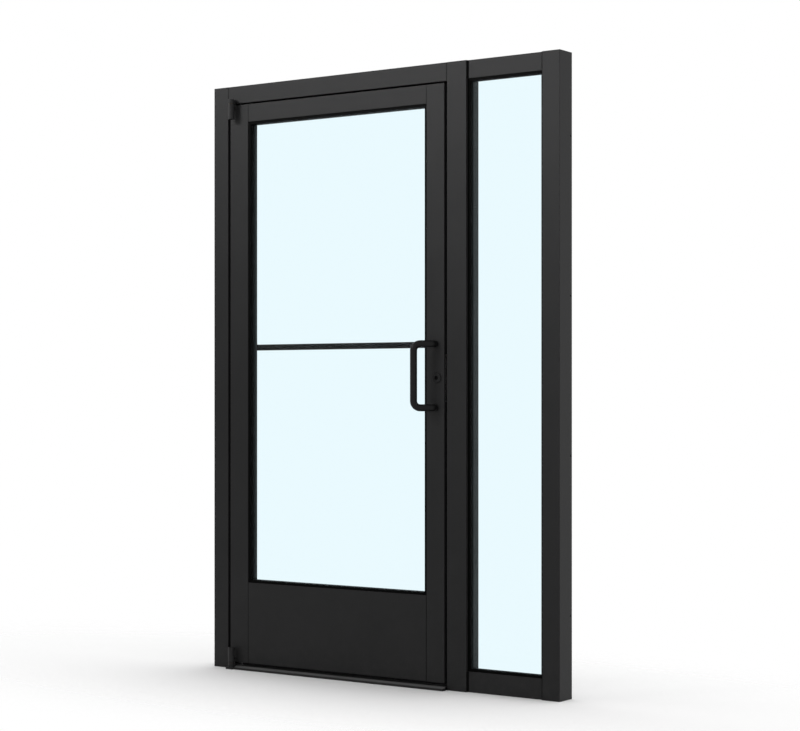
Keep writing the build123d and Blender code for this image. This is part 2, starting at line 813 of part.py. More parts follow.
def faceplate_screw_heights():
    rise = faceplate_height / 2 - screw_head
    return [lock_height - rise, lock_height + rise]


def lock_case():
    """Lock case behind the stile's edge, with the post that the bolt turns on."""
    x1 = leaf_x1 - leaf_wall
    x0 = x1 - case_depth
    half = case_thickness / 2
    z0 = lock_height - case_height / 2
    z1 = lock_height + case_height / 2
    case = block(x0, x1, leaf_mid - half, leaf_mid + half, z0, z1)
    case -= block(x0 + case_wall, x1 - case_wall, leaf_mid - half + case_wall,
                  leaf_mid + half - case_wall, z0 + case_wall, z1 - case_wall)
    case -= rod_y(cylinder_diameter + 2 * seat_fit, lock_x, lock_height, leaf_y0, leaf_y1)
    case -= bolt_slot(x1 - case_wall - overrun, x1 + overrun)
    case += rod_y(bolt_pin_diameter, bolt_x, bolt_z, leaf_mid - half + case_wall,
                  leaf_mid + half - case_wall)
    for z in faceplate_screw_heights():
        case -= Pos(x1, leaf_mid, z) * towards_hinge * screw_hole(case_wall)
    return case


def lock_faceplate():
    """Plate flush with the stile's edge, slotted for the bolt and screwed to the case."""
    x0 = leaf_x1 - leaf_wall
    half = faceplate_width / 2
    plate = block(x0, leaf_x1, leaf_mid - half, leaf_mid + half, lock_height - faceplate_height / 2,
                  lock_height + faceplate_height / 2)
    plate -= bolt_slot(x0 - overrun, leaf_x1 + overrun)
    for z in faceplate_screw_heights():
        plate -= Pos(leaf_x1, leaf_mid, z) * towards_hinge * flush_hole(leaf_wall)
    return plate


def faceplate_screws():
    screw = towards_hinge * flush_screw(screw_length)
    return [Pos(leaf_x1, leaf_mid, z) * screw for z in faceplate_screw_heights()]


def outer_cylinder():
    body = rod_y(cylinder_diameter, lock_x, lock_height, leaf_y0 - collar_thickness,
                 leaf_mid - cylinder_end)
    return body - rod_y(plug_diameter + 2 * running_fit, lock_x, lock_height,
                        leaf_y0 - collar_thickness - overrun, leaf_mid)


def inner_cylinder():
    body = rod_y(cylinder_diameter, lock_x, lock_height, leaf_mid + cylinder_end,
                 leaf_y1 + collar_thickness)
    return body - rod_y(turn_shaft_diameter + 2 * running_fit, lock_x, lock_height, leaf_mid,
                        leaf_y1 + collar_thickness + overrun)


def cylinder_collars():
    """Tapered trim rings round the cylinder, one on each face of the stile."""
    rings = []
    for y0, y1 in ((leaf_y0 - collar_thickness, leaf_y0), (leaf_y1, leaf_y1 + collar_thickness)):
        ring = rod_y(collar_diameter, lock_x, lock_height, y0, y1)
        outer = y0 if y1 == leaf_y0 else y1
        rim = sorted(ring.edges().filter_by(GeomType.CIRCLE),
                     key=lambda edge: abs(edge.center().Y - outer))[0]
        ring = chamfer(rim, collar_chamfer)
        rings.append(ring - rod_y(cylinder_diameter + 2 * seat_fit, lock_x, lock_height,
                                  y0 - overrun, y1 + overrun))
    return rings


def cam(y0, hang):
    """Lever on the tail of a cylinder, beside the bolt; it hangs or stands at rest."""
    plan = SlotCenterToCenter(cam_reach - cam_width / 2, cam_width, rotation=90)
    plate = extrude(Plane.XZ * Pos(0, hang * (cam_reach - cam_width / 2) / 2) * plan, -cam_thickness)
    return Pos(lock_x, y0, lock_height) * plate


def key_plug():
    y0 = leaf_y0 - collar_thickness - plug_proud
    y1 = leaf_mid - bolt_thickness / 2 - cam_clearance
    plug = rod_y(plug_diameter, lock_x, lock_height, y0, y1 - cam_thickness - cam_clearance)
    plug -= block(lock_x - keyway_width / 2, lock_x + keyway_width / 2, y0 - overrun,
                  y0 + keyway_depth, lock_height - keyway_height / 2,
                  lock_height + keyway_height / 2)
    plug += rod_y(cam_width, lock_x, lock_height, y1 - cam_thickness - 2 * cam_clearance, y1)
    return plug + cam(y1 - cam_thickness, -1)


def thumbturn():
    """Oval turn on a shaft through the inner cylinder, with the cam on its tail."""
    y0 = leaf_mid + bolt_thickness / 2 + cam_clearance
    y_knob = leaf_y1 + collar_thickness + cam_clearance
    shaft = rod_y(turn_shaft_diameter, lock_x, lock_height, y0, y_knob)
    plan = SlotOverall(turn_length, turn_width, rotation=90)
    knob = extrude(Plane.XZ * plan, -turn_depth)
    outer = knob.faces().sort_by(Axis.Y)[-1].edges()
    knob = fillet(outer, turn_width / 4)
    return shaft + Pos(lock_x, y_knob, lock_height) * knob + cam(y0, -1)


def deadbolt():
    """Long pivoting bolt, hanging inside the case; it swings up through the faceplate."""
    plate = block(bolt_x - bolt_width / 2, bolt_x + bolt_width / 2, leaf_mid - bolt_thickness / 2,
                  leaf_mid + bolt_thickness / 2, bolt_z - bolt_length, bolt_z)
    plate += rod_y(bolt_width, bolt_x, bolt_z, leaf_mid - bolt_thickness / 2,
                   leaf_mid + bolt_thickness / 2)
    return plate - rod_y(bolt_pin_diameter + 2 * running_fit, bolt_x, bolt_z, leaf_y0, leaf_y1)


def strike_plate():
    """Slotted plate on the mullion's edge, opposite the bolt."""
    half = strike_width / 2
    plate = block(x_strike - strike_thickness, x_strike, leaf_mid - half, leaf_mid + half,
                  bolt_slot_z0 - strike_margin, bolt_slot_z1 + strike_margin)
    plate -= bolt_slot(x_strike - strike_thickness - overrun, x_strike + overrun)
    for z in strike_screw_heights():
        plate -= (Pos(x_strike - strike_thickness, leaf_mid, z) * towards_sidelite
                  * flush_hole(strike_thickness))
    return plate


def strike_screws():
    screw = towards_sidelite * flush_screw(screw_length)
    return [Pos(x_strike - strike_thickness, leaf_mid, z) * screw for z in strike_screw_heights()]


def round_bar(points, radii, diameter):
    """Round bar bent along straight runs with an arc at each corner."""
    path = FilletPolyline(*points, radius=radii)
    start = Plane(origin=path @ 0, z_dir=path % 0)
    return sweep(start * Circle(diameter / 2), path=path)


def pull_handle():
    """Offset pull: short feet square to the stile, then legs that lean towards the glass."""
    x_grip = pull_x - pull_offset
    y_foot = leaf_y0 - pull_foot
    y_grip = leaf_y0 - pull_projection
    z1 = pull_height
    z0 = pull_height - pull_spacing
    points = [(pull_x, leaf_y0, z1), (pull_x, y_foot, z1), (x_grip, y_grip, z1),
              (x_grip, y_grip, z0), (pull_x, y_foot, z0), (pull_x, leaf_y0, z0)]
    bends = [pull_foot_bend, pull_bend, pull_bend, pull_foot_bend]
    handle = round_bar(points, bends, pull_diameter)
    for z in (z0, z1):
        handle -= rod_y(through_bolt_diameter + 2 * seat_fit, pull_x, z,
                        leaf_y0 - through_bolt_reach, leaf_y0 + overrun)
    return handle


def push_bar():
    """Round bar across the room face, bent square at both ends onto its rosettes."""
    y0 = leaf_y1 + rosette_thickness
    y_bar = leaf_y1 + push_bar_projection
    points = [(push_bar_x, y0, pull_height), (push_bar_x, y_bar, pull_height),
              (pull_x, y_bar, pull_height), (pull_x, y0, pull_height)]
    bar = round_bar(points, [push_bar_bend, push_bar_bend], push_bar_diameter)
    for x in (push_bar_x, pull_x):
        bar -= rod_y(through_bolt_diameter + 2 * seat_fit, x, pull_height, y0 - overrun,
                     y0 + through_bolt_reach)
    return bar


def push_bar_rosettes():
    discs = []
    for x in (push_bar_x, pull_x):
        disc = rod_y(rosette_diameter, x, pull_height, leaf_y1, leaf_y1 + rosette_thickness)
        rim = disc.edges().filter_by(GeomType.CIRCLE).sort_by(Axis.Y)[-1]
        disc = chamfer(rim, rosette_thickness / 4)
        discs.append(disc - rod_y(through_bolt_diameter + 2 * seat_fit, x, pull_height,
                                  leaf_y1 - overrun, leaf_y1 + rosette_thickness + overrun))
    return discs


def through_bolts():
    """A stud from pull to push bar, a headed bolt at the pull's lower foot, and a stud with a
    nut inside the hinge stile."""
    foot_y = leaf_y0 - through_bolt_reach
    bar_y = leaf_y1 + rosette_thickness + through_bolt_reach
    stud = rod_y(through_bolt_diameter, pull_x, pull_height, foot_y, bar_y)
    low = pull_height - pull_spacing
    bolt = rod_y(through_bolt_diameter, pull_x, low, foot_y, leaf_y1)
    head = rod_y(through_bolt_head, pull_x, low, leaf_y1, leaf_y1 + rosette_thickness)
    rim = head.edges().filter_by(GeomType.CIRCLE).sort_by(Axis.Y)[-1]
    bolt += chamfer(rim, rosette_thickness / 4)
    nut_y = leaf_y1 - leaf_wall - through_bolt_nut_length
    hinge_stud = rod_y(through_bolt_diameter, push_bar_x, pull_height, nut_y, bar_y)
    hinge_stud += Pos(push_bar_x, nut_y, pull_height) * extrude(
        Plane.XZ * RegularPolygon(through_bolt_head / 2, 6), -through_bolt_nut_length)
    return [stud, bolt, hinge_stud]


nodes = {
    "hinge_jamb": hinge_jamb(),
    "door_header": door_header(),
    "mullion": mullion(),
    "sidelite_jamb": sidelite_jamb(),
    "sidelite_head": sidelite_head(),
    "sidelite_sill": sidelite_sill(),
    "frame_corner_blocks": frame_corner_blocks(),
    "hinge_door_stop": hinge_door_stop(),
    "strike_door_stop": strike_door_stop(),
    "header_door_stop": header_door_stop(),
    "hinge_seal": hinge_seal(),
    "strike_seal": strike_seal(),
    "header_seal": header_seal(),
    "threshold": threshold(),
    "threshold_screws": threshold_screws(),
    "top_pivot_bracket": top_pivot_bracket(),
    "top_pivot_pin": top_pivot_pin(),
    "bottom_pivot_base": bottom_pivot_base(),
    "frame_pivot_screws": frame_pivot_screws(),
    "strike_plate": strike_plate(),
    "strike_screws": strike_screws(),
    "hinge_stile": hinge_stile(),
    "lock_stile": lock_stile(),
    "top_rail": top_rail(),
    "bottom_rail": bottom_rail(),
    "leaf_corner_blocks": leaf_corner_blocks(),
    "tie_rods": tie_rods(),
    "door_sweep": door_sweep(),
    "top_pivot_arm": top_pivot_arm(),
    "bottom_pivot_arm": bottom_pivot_arm(),
    "pivot_bushes": pivot_bushes(),
    "leaf_pivot_screws": leaf_pivot_screws(),
    "lock_case": lock_case(),
    "lock_faceplate": lock_faceplate(),
    "faceplate_screws": faceplate_screws(),
    "outer_cylinder": outer_cylinder(),
    "inner_cylinder": inner_cylinder(),
    "cylinder_collars": cylinder_collars(),
    "key_plug": key_plug(),
    "thumbturn": thumbturn(),
    "deadbolt": deadbolt(),
    "pull_handle": pull_handle(),
    "push_bar": push_bar(),
    "push_bar_rosettes": push_bar_rosettes(),
    "through_bolts": through_bolts(),
}
nodes.update(sidelite_glazing())
nodes.update(door_glazing())

os.makedirs("parts", exist_ok=True)
for name, shape in nodes.items():
    solid = Compound(shape) if isinstance(shape, list) else shape
    export_step(solid, f"parts/{name}.step")
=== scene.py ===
"""Looks of the glazed entrance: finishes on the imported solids, the pile and brush strips,
and the studio round them. Everything is in metres, in the solids' own frame."""
import json
import math

import bpy
from mathutils import Matrix, Vector

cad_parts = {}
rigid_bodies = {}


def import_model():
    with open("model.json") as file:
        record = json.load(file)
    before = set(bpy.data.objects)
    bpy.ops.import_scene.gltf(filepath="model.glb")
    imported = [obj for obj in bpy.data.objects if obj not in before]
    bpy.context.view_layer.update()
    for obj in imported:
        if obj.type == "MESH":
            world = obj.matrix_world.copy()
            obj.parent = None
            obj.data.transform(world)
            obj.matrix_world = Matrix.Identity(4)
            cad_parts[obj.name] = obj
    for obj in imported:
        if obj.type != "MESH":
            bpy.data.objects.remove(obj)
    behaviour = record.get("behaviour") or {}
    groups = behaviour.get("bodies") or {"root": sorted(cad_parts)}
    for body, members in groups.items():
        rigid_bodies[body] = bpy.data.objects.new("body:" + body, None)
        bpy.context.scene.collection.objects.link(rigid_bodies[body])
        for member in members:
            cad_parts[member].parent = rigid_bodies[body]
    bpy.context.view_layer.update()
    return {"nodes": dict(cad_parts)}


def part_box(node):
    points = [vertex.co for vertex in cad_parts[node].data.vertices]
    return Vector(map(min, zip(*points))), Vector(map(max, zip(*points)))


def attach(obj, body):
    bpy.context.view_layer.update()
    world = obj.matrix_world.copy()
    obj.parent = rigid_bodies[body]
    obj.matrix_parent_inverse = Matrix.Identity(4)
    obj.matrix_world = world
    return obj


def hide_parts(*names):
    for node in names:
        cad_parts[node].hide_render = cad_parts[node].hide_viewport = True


# The whole unit comes in as it was packed, into an empty scene.
bpy.ops.object.select_all(action="SELECT")
bpy.ops.object.delete()
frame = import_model()
solids = frame["nodes"]
bpy.ops.object.select_all(action="DESELECT")

# Jambs, mullion, header, sidelite head and sill: hollow aluminium extrusions, cut square and
# clipped together. A satin black coating covers the faint die lines along their run, the saw
# cuts are just eased, and dark joint lines show where the crossbars meet the uprights.
frame_uprights = ["hinge_jamb", "mullion", "sidelite_jamb"]
frame_crossbars = ["door_header", "sidelite_head", "sidelite_sill"]
saw_cut_ease = 0.0006
coat_deep = (0.0168, 0.0168, 0.0172, 1)
coat_pale = (0.0200, 0.0200, 0.0204, 1)
coat_specular = 0.11
coat_roughness = (0.40, 0.52)
coat_relief = 0.000018
coat_dust = 0.08
joint_black = (0.0015, 0.0015, 0.0015, 1)
joint_line = 0.0016
header_joint_line = 0.0032
joint_fade = 0.0016
upright_die_lines = (700, 700, 1.5)
crossbar_die_lines = (1.5, 700, 700)
dust_colour = (0.11, 0.105, 0.098, 1)


def ease_edges(names, width):
    """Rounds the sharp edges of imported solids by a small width."""
    for name in names:
        joined = solids[name].modifiers.new("joined", "WELD")
        joined.merge_threshold = 0.000001
        eased = solids[name].modifiers.new("eased", "BEVEL")
        eased.width = width
        eased.segments = 2
        eased.limit_method = "ANGLE"
        eased.angle_limit = math.radians(40)
        flat = solids[name].modifiers.new("flat faces", "WEIGHTED_NORMAL")
        flat.weight = 100


def dress(names, material):
    """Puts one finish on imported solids."""
    for name in names:
        for held in solids[name].material_slots:
            held.material = material


def add_node(tree, kind, values=None, **options):
    """Adds one shader node, with its options and its unlinked inputs set."""
    made = tree.nodes.new("ShaderNode" + kind)
    for option, setting in options.items():
        setattr(made, option, setting)
    for socket, value in (values or {}).items():
        made.inputs[socket].default_value = value
    return made


def start_effect(name, takes, gives):
    """Starts a shared effect: a node group with named inputs and outputs."""
    tree = bpy.data.node_groups.new(name, "ShaderNodeTree")
    for label, kind in takes:
        tree.interface.new_socket(label, in_out="INPUT", socket_type="NodeSocket" + kind)
    for label in gives:
        tree.interface.new_socket(label, in_out="OUTPUT", socket_type="NodeSocketFloat")
    return tree, tree.nodes.new("NodeGroupInput").outputs, tree.nodes.new("NodeGroupOutput").inputs


def place_effect(tree, effect, where, values=None):
    """Places a shared effect in a material, at some coordinates and with its own values."""
    made = tree.nodes.new("ShaderNodeGroup")
    made.node_tree = effect
    tree.links.new(where, made.inputs["Where"])
    for socket, value in (values or {}).items():
        made.inputs[socket].default_value = value
    return made.outputs


def start_material(name, **values):
    """Starts a material: its tree, its shader with plain values set, and Object coordinates."""
    material = bpy.data.materials.new(name)
    material.use_nodes = True
    tree = material.node_tree
    shader = tree.nodes["Principled BSDF"]
    for socket, value in values.items():
        shader.inputs[socket.replace("_", " ")].default_value = value
    return material, tree, shader.inputs, add_node(tree, "TexCoord").outputs["Object"]


def stretch(tree, where, scale):
    """Coordinates scaled differently along each axis, for marks that run one way."""
    mapping = add_node(tree, "Mapping", {"Scale": scale})
    tree.links.new(where, mapping.inputs["Vector"])
    return mapping.outputs["Vector"]


def blend_colours(tree, mask, low, high):
    """A colour between two, each a plain colour or another node's output."""
    mix = add_node(tree, "Mix", data_type="RGBA")
    tree.links.new(mask, mix.inputs["Factor"])
    for socket, colour in ((mix.inputs[6], low), (mix.inputs[7], high)):
        if isinstance(colour, tuple):
            socket.default_value = colour
        else:
            tree.links.new(colour, socket)
    return mix.outputs[2]


def run_between(tree, value, low, high):
    """A value from 0 to 1 brought to run from low to high."""
    spread = add_node(tree, "MapRange", {"To Min": low, "To Max": high})
    tree.links.new(value, spread.inputs["Value"])
    return spread.outputs["Result"]


def sum_of(tree, one, other, operation="ADD"):
    """Two outputs added, or joined by another operation."""
    maths = add_node(tree, "Math", operation=operation)
    tree.links.new(one, maths.inputs[0])
    if isinstance(other, float):
        maths.inputs[1].default_value = other
    else:
        tree.links.new(other, maths.inputs[1])
    return maths.outputs[0]


def raise_surface(tree, inputs, height, depth):
    """Bump of a given depth in metres from a height of 0 to 1."""
    bump = add_node(tree, "Bump", {"Strength": 1.0, "Distance": depth})
    tree.links.new(height, bump.inputs["Height"])
    tree.links.new(bump.outputs["Normal"], inputs["Normal"])


speckle_effect, takes, gives = start_effect(
    "coat_speckle", [("Where", "Vector"), ("Scale", "Float")], ["Height"])
speckle = add_node(speckle_effect, "TexNoise", {"Detail": 3.0, "Roughness": 0.6})
speckle_effect.links.new(takes["Where"], speckle.inputs["Vector"])
speckle_effect.links.new(takes["Scale"], speckle.inputs["Scale"])
speckle_effect.links.new(speckle.outputs[0], gives["Height"])

cloud_effect, takes, gives = start_effect(
    "broad_cloud", [("Where", "Vector"), ("Scale", "Float")], ["Cloud"])
cloud = add_node(cloud_effect, "TexNoise", {"Detail": 5.0, "Roughness": 0.55, "Distortion": 0.4})
cloud_effect.links.new(takes["Where"], cloud.inputs["Vector"])
cloud_effect.links.new(takes["Scale"], cloud.inputs["Scale"])
cloud_spread = add_node(cloud_effect, "MapRange", {"From Min": 0.3, "From Max": 0.7})
cloud_effect.links.new(cloud.outputs[0], cloud_spread.inputs["Value"])
cloud_effect.links.new(cloud_spread.outputs["Result"], gives["Cloud"])

dust_effect, takes, gives = start_effect(
    "settled_dust", [("Where", "Vector"), ("Reach", "Float")], ["Dust"])
height = add_node(dust_effect, "SeparateXYZ")
dust_effect.links.new(takes["Where"], height.inputs[0])
low_down = add_node(dust_effect, "MapRange", {"From Min": 0.0, "To Min": 1.0, "To Max": 0.0})
dust_effect.links.new(height.outputs["Z"], low_down.inputs["Value"])
dust_effect.links.new(takes["Reach"], low_down.inputs["From Max"])
facing = add_node(dust_effect, "SeparateXYZ")
dust_effect.links.new(add_node(dust_effect, "NewGeometry").outputs["Normal"], facing.inputs[0])
ledges = add_node(dust_effect, "MapRange", {"From Min": 0.6, "From Max": 1.0, "To Max": 0.8})
dust_effect.links.new(facing.outputs["Z"], ledges.inputs["Value"])
patches = add_node(dust_effect, "TexNoise", {"Scale": 38.0, "Detail": 6.0, "Roughness": 0.7})
dust_effect.links.new(takes["Where"], patches.inputs["Vector"])
patchy = add_node(dust_effect, "MapRange", {"From Min": 0.42, "From Max": 0.75})
dust_effect.links.new(patches.outputs[0], patchy.inputs["Value"])
near_floor = sum_of(dust_effect, low_down.outputs["Result"], 2.0, "POWER")
settled = sum_of(dust_effect, near_floor, ledges.outputs["Result"], "MAXIMUM")
dust_effect.links.new(sum_of(dust_effect, settled, patchy.outputs["Result"], "MULTIPLY"),
                      gives["Dust"])


def black_coating(name, die_lines, ends=None, line=joint_line):
    """Satin black coating over die lines, which are stretched along the member's run. Where a
    member is cut between two others, a dark line of some width shows at its ends."""
    material, tree, inputs, where = start_material(name, Specular_IOR_Level=coat_specular, IOR=1.5)
    grain = place_effect(tree, speckle_effect, where, {"Scale": 1100.0})["Height"]
    cloud = place_effect(tree, cloud_effect, where, {"Scale": 7.0})["Cloud"]
    dust = place_effect(tree, dust_effect, where, {"Reach": 0.22})["Dust"]
    along_run = stretch(tree, where, die_lines)
    lines = place_effect(tree, speckle_effect, along_run, {"Scale": 1.0})["Height"]
    tone = blend_colours(tree, cloud, coat_deep, coat_pale)
    film = sum_of(tree, dust, coat_dust, "MULTIPLY")
    dusted = blend_colours(tree, film, tone, dust_colour)
    if ends:
        along = add_node(tree, "SeparateXYZ")
        tree.links.new(where, along.inputs[0])
        from_middle = sum_of(tree, along.outputs["X"], (ends[0] + ends[1]) / 2, "SUBTRACT")
        line_start = (ends[1] - ends[0]) / 2 - line
        whole = add_node(tree, "MapRange", {"From Min": line_start,
                                            "From Max": line_start - joint_fade})
        tree.links.new(sum_of(tree, from_middle, 0.0, "ABSOLUTE"), whole.inputs["Value"])
        dusted = blend_colours(tree, whole.outputs["Result"], joint_black, dusted)
    tree.links.new(dusted, inputs["Base Color"])
    worn = sum_of(tree, sum_of(tree, sum_of(tree, cloud, lines), film), 0.5, "MULTIPLY")
    tree.links.new(run_between(tree, worn, *coat_roughness), inputs["Roughness"])
    raise_surface(tree, inputs, sum_of(tree, grain, lines), coat_relief)
    return material


upright_coating = black_coating("black_coating_upright", upright_die_lines)
header_cut, header_cut_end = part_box("door_header")
lite_cut, lite_cut_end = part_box("sidelite_sill")
header_coating = black_coating("black_coating_header", crossbar_die_lines,
                               (header_cut.x, header_cut_end.x), header_joint_line)
lite_coating = black_coating("black_coating_sidelite", crossbar_die_lines,
                             (lite_cut.x, lite_cut_end.x))
ease_edges(frame_uprights + frame_crossbars, saw_cut_ease)
dress(frame_uprights, upright_coating)
dress(["door_header"], header_coating)
dress(["sidelite_head", "sidelite_sill"], lite_coating)

# Sealant beads: black silicone, gunned into the corners where the sidelite's head and sill stand
# back from the uprights, and drawn off hollow with a finger.
sealant_wide = 0.0052
sealant_deep = 0.0062
sealant_end_gap = 0.0008
sealant_grey = (0.003, 0.003, 0.003, 1)
sealant_black, tree, inputs, where = start_material("black_sealant", Specular_IOR_Level=0.04,
                                                    IOR=1.45)
drawn = place_effect(tree, cloud_effect, where, {"Scale": 90.0})["Cloud"]
tree.links.new(blend_colours(tree, drawn, joint_black, sealant_grey), inputs["Base Color"])
tree.links.new(run_between(tree, drawn, 0.5, 0.62), inputs["Roughness"])
raise_surface(tree, inputs, drawn, 0.0001)
for member in ("sidelite_head", "sidelite_sill"):
    low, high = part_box(member)
    for side, corner_x in ((1, low.x), (-1, high.x)):
        middle = Vector((corner_x + side * sealant_wide / 2, low.y - sealant_deep / 2,
                         (low.z + high.z) / 2))
        bpy.ops.object.select_all(action="DESELECT")
        bpy.ops.mesh.primitive_cube_add(size=1, location=middle)
        bead = bpy.context.object
        bead.name = "%s_sealant_%s" % (member, "left" if side > 0 else "right")
        bead.scale = (sealant_wide, sealant_deep, high.z - low.z - sealant_end_gap)
        bpy.ops.object.transform_apply(location=True, rotation=True, scale=True)
        bpy.ops.object.mode_set(mode="EDIT")
        bpy.ops.mesh.select_all(action="DESELECT")
        bpy.ops.mesh.select_mode(type="EDGE")
        bpy.ops.object.mode_set(mode="OBJECT")
        for edge in bead.data.edges:
            ends = [bead.data.vertices[i].co for i in edge.vertices]
            edge.select = all(end.y < middle.y and side * (end.x - middle.x) > 0 for end in ends)
        bpy.ops.object.mode_set(mode="EDIT")
        bpy.ops.mesh.bevel(offset=sealant_wide * 0.94, segments=5, profile=0.3, affect="EDGES")
        bpy.ops.object.mode_set(mode="OBJECT")
        bpy.ops.object.shade_smooth_by_angle(angle=math.radians(40))
        bead.data.materials.append(sealant_black)
        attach(bead, "frame")

# Corner clips: short blocks of mill-finish extrusion screwed to the uprights, inside the ends
# of the frame's crossbars and the leaf's rails. The saw leaves its lines on them.
clip_blocks = ["frame_corner_blocks", "leaf_corner_blocks"]
mill_pale = (0.62, 0.63, 0.64, 1)
mill_dull = (0.46, 0.465, 0.475, 1)
clip_ease = 0.0003
mill_finish, tree, inputs, where = start_material("mill_aluminium", Metallic=1.0)
across_cut = stretch(tree, where, (900, 60, 60))
saw_lines = place_effect(tree, speckle_effect, across_cut, {"Scale": 1.0})["Height"]
oxide = place_effect(tree, cloud_effect, where, {"Scale": 26.0})["Cloud"]
tree.links.new(blend_colours(tree, oxide, mill_pale, mill_dull), inputs["Base Color"])
tree.links.new(run_between(tree, saw_lines, 0.28, 0.5), inputs["Roughness"])
raise_surface(tree, inputs, saw_lines, 0.00003)
ease_edges(clip_blocks, clip_ease)
dress(clip_blocks, mill_finish)

# Door stops: small coated channels snapped into the jamb, header and mullion. The closed leaf
# comes up to them, and they hold the pile strips.
upright_stops = ["hinge_door_stop", "strike_door_stop"]
thin_edge_ease = 0.0004
ease_edges(upright_stops + ["header_door_stop"], thin_edge_ease)
dress(upright_stops, upright_coating)
dress(["header_door_stop"], header_coating)

# Pile weather strips: a woven backing slid into the frame, with three rows of cut tufts that
# stand from it against the leaf. They run up the hinge jamb and round the stops.
pile_black = (0.004, 0.004, 0.0042, 1)
pile_grey = (0.012, 0.012, 0.0125, 1)
pile_backing_width = 0.004
pile_backing = 0.0012
pile_width = 0.0038
pile_rows = 3
pile_pitch = 0.0017
stop_pile_reach = 0.0064
jamb_pile_gap = 0.0002
pile_finish, tree, inputs, where = start_material("black_pile", Roughness=0.92, Sheen_Weight=0.1)
fibres = place_effect(tree, speckle_effect, where, {"Scale": 2600.0})["Height"]
tree.links.new(blend_colours(tree, fibres, pile_black, pile_grey), inputs["Base Color"])
raise_surface(tree, inputs, fibres, 0.0002)


def tufted_strip(name, sizes, rows, pitch):
    """A backing along X with rows of flared tufts standing up from it, lying at the origin."""
    run, backing_width, backing, pile_width, reach = sizes
    bpy.ops.object.select_all(action="DESELECT")
    bpy.ops.mesh.primitive_cube_add(size=1, location=(run / 2, 0, backing / 2))
    strip = bpy.context.object
    strip.name = name
    strip.scale = (run, backing_width, backing)
    bpy.ops.object.transform_apply(location=True, rotation=True, scale=True)
    bpy.ops.object.mode_set(mode="EDIT")
    bpy.ops.mesh.bevel(offset=backing * 0.25, segments=2, affect="EDGES")
    bpy.ops.object.mode_set(mode="OBJECT")

    row_pitch = pile_width / rows
    foot = (pitch / 2, (row_pitch - pile_width) / 2, (backing + reach) / 2)
    bpy.ops.mesh.primitive_cone_add(vertices=5, radius1=row_pitch * 0.34, radius2=row_pitch * 0.56,
                                    depth=reach - backing, location=foot)
    tuft = bpy.context.object
    bpy.ops.object.transform_apply(location=True, rotation=True, scale=True)
    for face in tuft.data.polygons:
        face.select = face.normal.z > 0.9
    for edge in tuft.data.edges:
        edge.select = False
    for corner in tuft.data.vertices:
        corner.select = corner.co.z > reach * 0.9
    bpy.ops.object.mode_set(mode="EDIT")
    bpy.ops.mesh.select_mode(type="FACE")
    bpy.ops.mesh.inset(thickness=row_pitch * 0.16)
    bpy.ops.transform.translate(value=(0, 0, -row_pitch * 0.3))
    bpy.ops.mesh.select_mode(type="VERT")
    bpy.ops.object.mode_set(mode="OBJECT")
    for count, step in ((rows, (0, row_pitch, 0)), (int(run / pitch), (pitch, 0, 0))):
        repeat = tuft.modifiers.new("repeat", "ARRAY")
        repeat.use_relative_offset = False
        repeat.use_constant_offset = True
        repeat.constant_offset_displace = step
        repeat.count = count
        bpy.ops.object.modifier_apply(modifier="repeat")
    bpy.ops.object.mode_set(mode="EDIT")
    bpy.ops.mesh.select_all(action="SELECT")
    bpy.ops.transform.vertex_random(offset=row_pitch * 0.2, seed=7)
    bpy.ops.object.mode_set(mode="OBJECT")
    strip.select_set(True)
    bpy.context.view_layer.objects.active = strip
    bpy.ops.object.join()
    return strip


def fit_strip(strip, foot, run_way, stand_way):
    """Lays a strip in its place: from its foot, along its run, standing out."""
    along, out = Vector(run_way), Vector(stand_way)
    turn = Matrix((along, out.cross(along), out)).transposed().to_4x4()
    strip.matrix_world = Matrix.Translation(foot) @ turn
    bpy.ops.object.transform_apply(location=True, rotation=True, scale=True)
    strip.data.materials.clear()
    strip.data.materials.append(pile_finish)


def pile_strip(name, run, reach):
    """A weather strip of the frame, with its own run and reach."""
    sizes = (run, pile_backing_width, pile_backing, pile_width, reach)
    return tufted_strip(name, sizes, pile_rows, pile_pitch)


jamb_pile, jamb_pile_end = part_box("hinge_seal")
jamb_strip = pile_strip("hinge_pile_strip", jamb_pile_end.z - jamb_pile.z,
                        jamb_pile_end.x - jamb_pile.x - jamb_pile_gap)
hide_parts("hinge_seal")
fit_strip(jamb_strip, (jamb_pile.x, (jamb_pile.y + jamb_pile_end.y) / 2, jamb_pile.z),
          (0, 0, 1), (1, 0, 0))
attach(jamb_strip, "frame")

strike_pile, strike_pile_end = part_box("strike_seal")
strike_strip = pile_strip("strike_pile_strip", strike_pile_end.z - strike_pile.z, stop_pile_reach)
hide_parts("strike_seal")
fit_strip(strike_strip, ((strike_pile.x + strike_pile_end.x) / 2, strike_pile_end.y, strike_pile.z),
          (0, 0, 1), (0, -1, 0))
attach(strike_strip, "frame")

header_pile, header_pile_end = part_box("header_seal")
header_strip = pile_strip("header_pile_strip", header_pile_end.x - header_pile.x, stop_pile_reach)
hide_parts("header_seal")
fit_strip(header_strip, (header_pile.x, header_pile_end.y, (header_pile.z + header_pile_end.z) / 2),
          (1, 0, 0), (0, -1, 0))
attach(header_strip, "frame")
